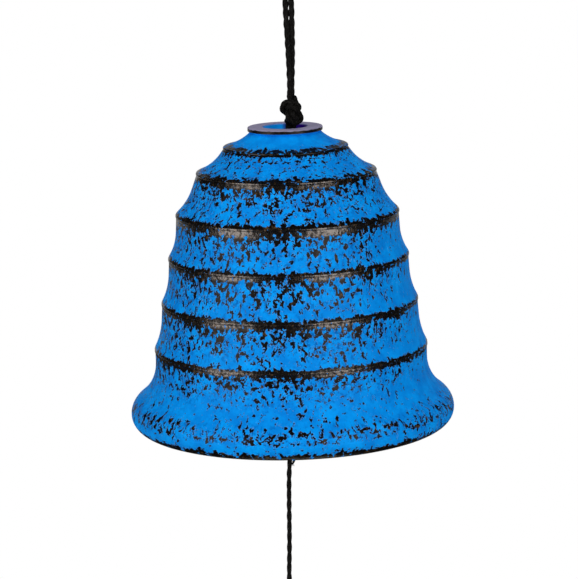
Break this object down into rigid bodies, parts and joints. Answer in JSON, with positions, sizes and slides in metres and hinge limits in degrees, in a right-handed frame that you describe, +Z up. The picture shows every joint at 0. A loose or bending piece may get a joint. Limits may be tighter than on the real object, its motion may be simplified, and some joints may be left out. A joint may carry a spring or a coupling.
{
  "type": "wind bell",
  "caption": "Beehive-shaped cast-iron wind bell hanging on a knotted cord, with a swinging disc clapper inside and a paper wind strip below.",
  "frame": {"origin": "where the hook bears on the inside of the top of the cord's loop; the bell hangs plumb below it", "axes": "+Z up along the plumb cord and the bell's axis; -Y is the front; +X is to the right seen from the front"},
  "size_m": [0.076, 0.076, 0.2766],
  "materials": {
    "bell_paint": "satin",
    "clapper_iron": "matte",
    "cord": "matte",
    "paper": "matte"
  },
  "bodies": {
    "loop": {"loop_bight": "cord"},
    "cord": {"hanging_cord": "cord"},
    "knot": {"upper_knot": "cord"},
    "bell": {"neck_cord": "cord", "bell_body": "bell_paint"},
    "stopper": {"crown_knot": "cord"},
    "striker": {"clapper_cord": "cord", "clapper": "clapper_iron"},
    "striker_knot": {"clapper_knot": "cord"},
    "lower_cord": {"strip_cord": "cord"},
    "strip": {"strip_knot": "cord", "strip_tie": "cord", "wind_strip": "paper"}
  },
  "joints": [
    {"name": "cord_swing", "type": "hinge", "parent": "loop", "child": "cord", "pos_m": [0, 0, -0.0136], "axis": [0, 1, 0], "range_deg": [-30, 30]},
    {"name": "bell_turn", "type": "hinge", "parent": "cord", "child": "knot", "pos_m": [0, 0, -0.0296], "axis": [0, 0, 1], "continuous": true},
    {"name": "bell_swing", "type": "hinge", "parent": "knot", "child": "bell", "pos_m": [0, 0, -0.0376], "axis": [1, 0, 0], "range_deg": [-20, 20]},
    {"name": "clapper_turn", "type": "hinge", "parent": "bell", "child": "stopper", "pos_m": [0, 0, -0.04245], "axis": [0, 0, 1], "continuous": true},
    {"name": "clapper_swing", "type": "hinge", "parent": "stopper", "child": "striker", "pos_m": [0, 0, -0.0476], "axis": [1, 0, 0], "range_deg": [-17.8, 17.8]},
    {"name": "strip_turn", "type": "hinge", "parent": "striker", "child": "striker_knot", "pos_m": [0, 0, -0.11215], "axis": [0, 0, 1], "continuous": true},
    {"name": "strip_swing", "type": "hinge", "parent": "striker_knot", "child": "lower_cord", "pos_m": [0, 0, -0.1159], "axis": [1, 0, 0], "range_deg": [-35, 35]},
    {"name": "strip_flap", "type": "hinge", "parent": "lower_cord", "child": "strip", "pos_m": [0, 0, -0.15325], "axis": [1, 0, 0], "range_deg": [-40, 40]}
  ]
}
